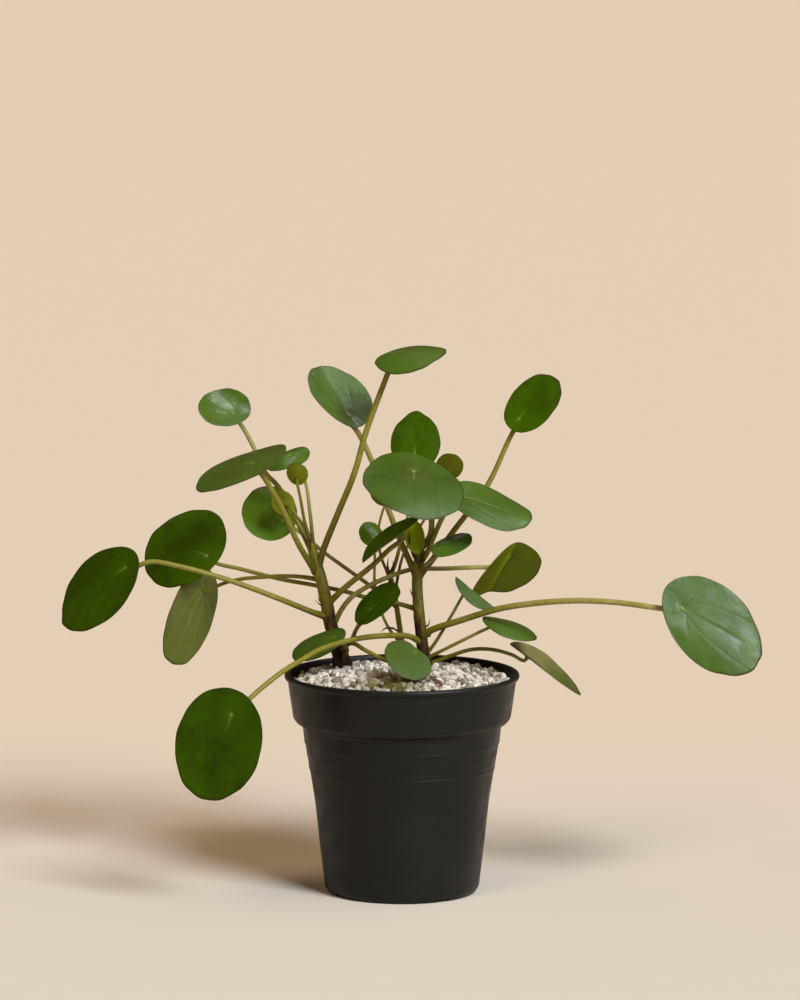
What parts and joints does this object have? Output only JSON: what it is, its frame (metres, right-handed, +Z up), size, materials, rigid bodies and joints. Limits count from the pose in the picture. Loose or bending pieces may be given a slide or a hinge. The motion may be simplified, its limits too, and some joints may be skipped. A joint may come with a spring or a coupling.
{
  "type": "potted pilea plant",
  "caption": "Round-leaved pilea house plant on long arching leaf stalks, standing in a thin tapered nursery pot of soil topped with pumice chips.",
  "frame": {"origin": "centre of the pot's flat base, at the level the pot stands on", "axes": "+Z up, +X along the plant's widest spread, to the right of someone facing it, -Y towards the viewer"},
  "size_m": [0.3558, 0.1416, 0.2783],
  "materials": {
    "pot_plastic": "satin",
    "soil": "matte",
    "pumice": "matte",
    "stem": "satin",
    "leaf": "satin",
    "young_leaf": "satin"
  },
  "bodies": {
    "root": {"pot": "pot_plastic", "soil": "soil", "pumice": "pumice", "stem_left": "stem", "stem_right": "stem", "stem_back": "stem", "leaf_01_high_left": "leaf", "leaf_02_tilted_left": "leaf", "leaf_03_glossy_left": "leaf", "leaf_04_young_left": "young_leaf", "leaf_05_round_left": "leaf", "leaf_06_pale_left": "young_leaf", "leaf_07_upper_middle": "leaf", "leaf_08_top": "leaf", "leaf_09_pointed_middle": "leaf", "leaf_10_broad_front": "leaf", "leaf_11_young_right": "young_leaf", "leaf_12_young_middle": "young_leaf", "leaf_13_broad_right": "leaf", "leaf_14_high_right": "leaf", "leaf_15_broad_left": "leaf", "leaf_16_far_left": "leaf", "leaf_17_hanging_left": "leaf", "leaf_18_low_front": "leaf", "leaf_19_foot_left": "leaf", "leaf_20_middle": "leaf", "leaf_21_small_middle": "leaf", "leaf_22_slanted_middle": "leaf", "leaf_23_small_right": "leaf", "leaf_24_folded_right": "young_leaf", "leaf_25_slim_right": "leaf", "leaf_26_low_right": "leaf", "leaf_27_drooping_right": "leaf", "leaf_28_small_front": "leaf", "leaf_29_far_right": "leaf", "leaf_30_rolled_top": "young_leaf"}
  },
  "joints": []
}
